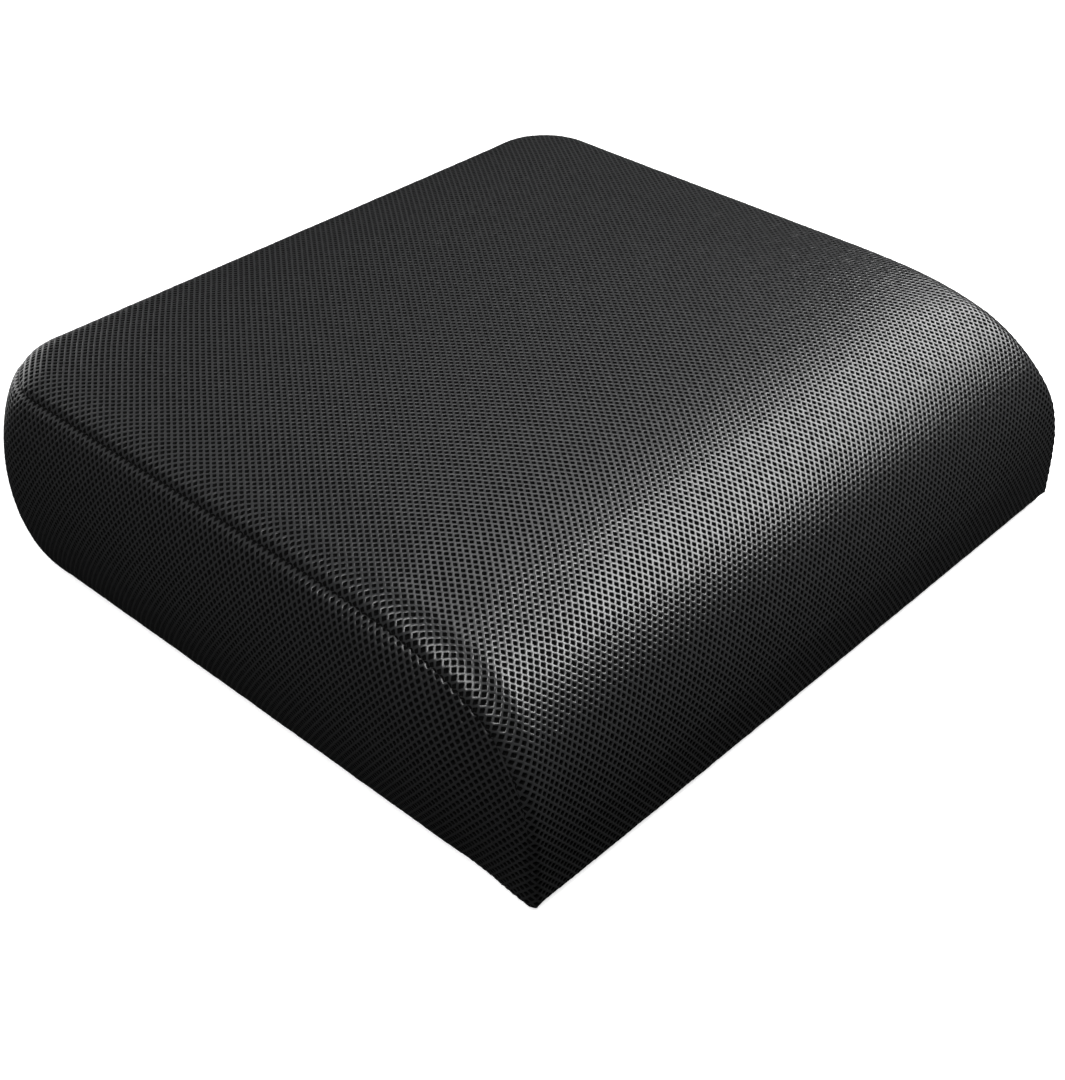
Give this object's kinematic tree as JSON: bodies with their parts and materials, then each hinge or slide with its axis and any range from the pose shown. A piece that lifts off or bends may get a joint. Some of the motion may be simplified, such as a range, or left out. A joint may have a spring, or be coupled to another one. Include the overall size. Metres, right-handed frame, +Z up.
{
  "type": "seat cushion",
  "caption": "Thick foam seat cushion with a waterfall front, a zipped spacer-mesh cover, bulging boxed sides and a grip underside.",
  "frame": {"origin": "middle of the overall box on the floor plane, under the cushion", "axes": "+X to the sitter's left, across the seat; -Y out of the waterfall front; +Z up"},
  "size_m": [0.457, 0.41, 0.126],
  "materials": {
    "mesh_fabric": "matt black knitted spacer mesh with a soft sheen",
    "grip_fabric": "matt black fabric with rubber grip dots",
    "liner_fabric": "off-white knit",
    "support_foam": "grey open-cell foam",
    "comfort_foam": "cream memory foam",
    "zipper_tape": "black woven tape",
    "zipper_nylon": "black nylon coil",
    "zipper_metal": "black coated zinc",
    "label_satin": "white satin, blank"
  },
  "bodies": {
    "cushion": {"support_foam": "support_foam", "comfort_foam": "comfort_foam", "core_liner": "liner_fabric", "bottom_panel": "grip_fabric", "top_panel": "mesh_fabric", "side_band_left": "mesh_fabric", "side_band_right": "mesh_fabric", "back_band_upper": "mesh_fabric", "back_band_lower": "mesh_fabric", "care_label": "label_satin", "zipper_tape_upper": "zipper_tape", "zipper_tape_lower": "zipper_tape", "zipper_coil_upper": "zipper_nylon", "zipper_coil_lower": "zipper_nylon", "zipper_stop_left": "zipper_metal", "zipper_stop_right": "zipper_metal", "zipper_tab_left": "zipper_tape", "zipper_tab_right": "zipper_tape"},
    "slider": {"zipper_slider": "zipper_metal"},
    "pull": {"zipper_pull": "zipper_metal"}
  },
  "joints": [
    {"name": "zipper_slide", "type": "slide", "parent": "cushion", "child": "slider", "axis": [1, 0, 0], "range_m": [0, 0.302]},
    {"name": "pull_hinge", "type": "hinge", "parent": "slider", "child": "pull", "pos_m": [-0.152, 0.2025, 0.05595], "axis": [0, 0, 1], "range_deg": [0, 178]}
  ]
}
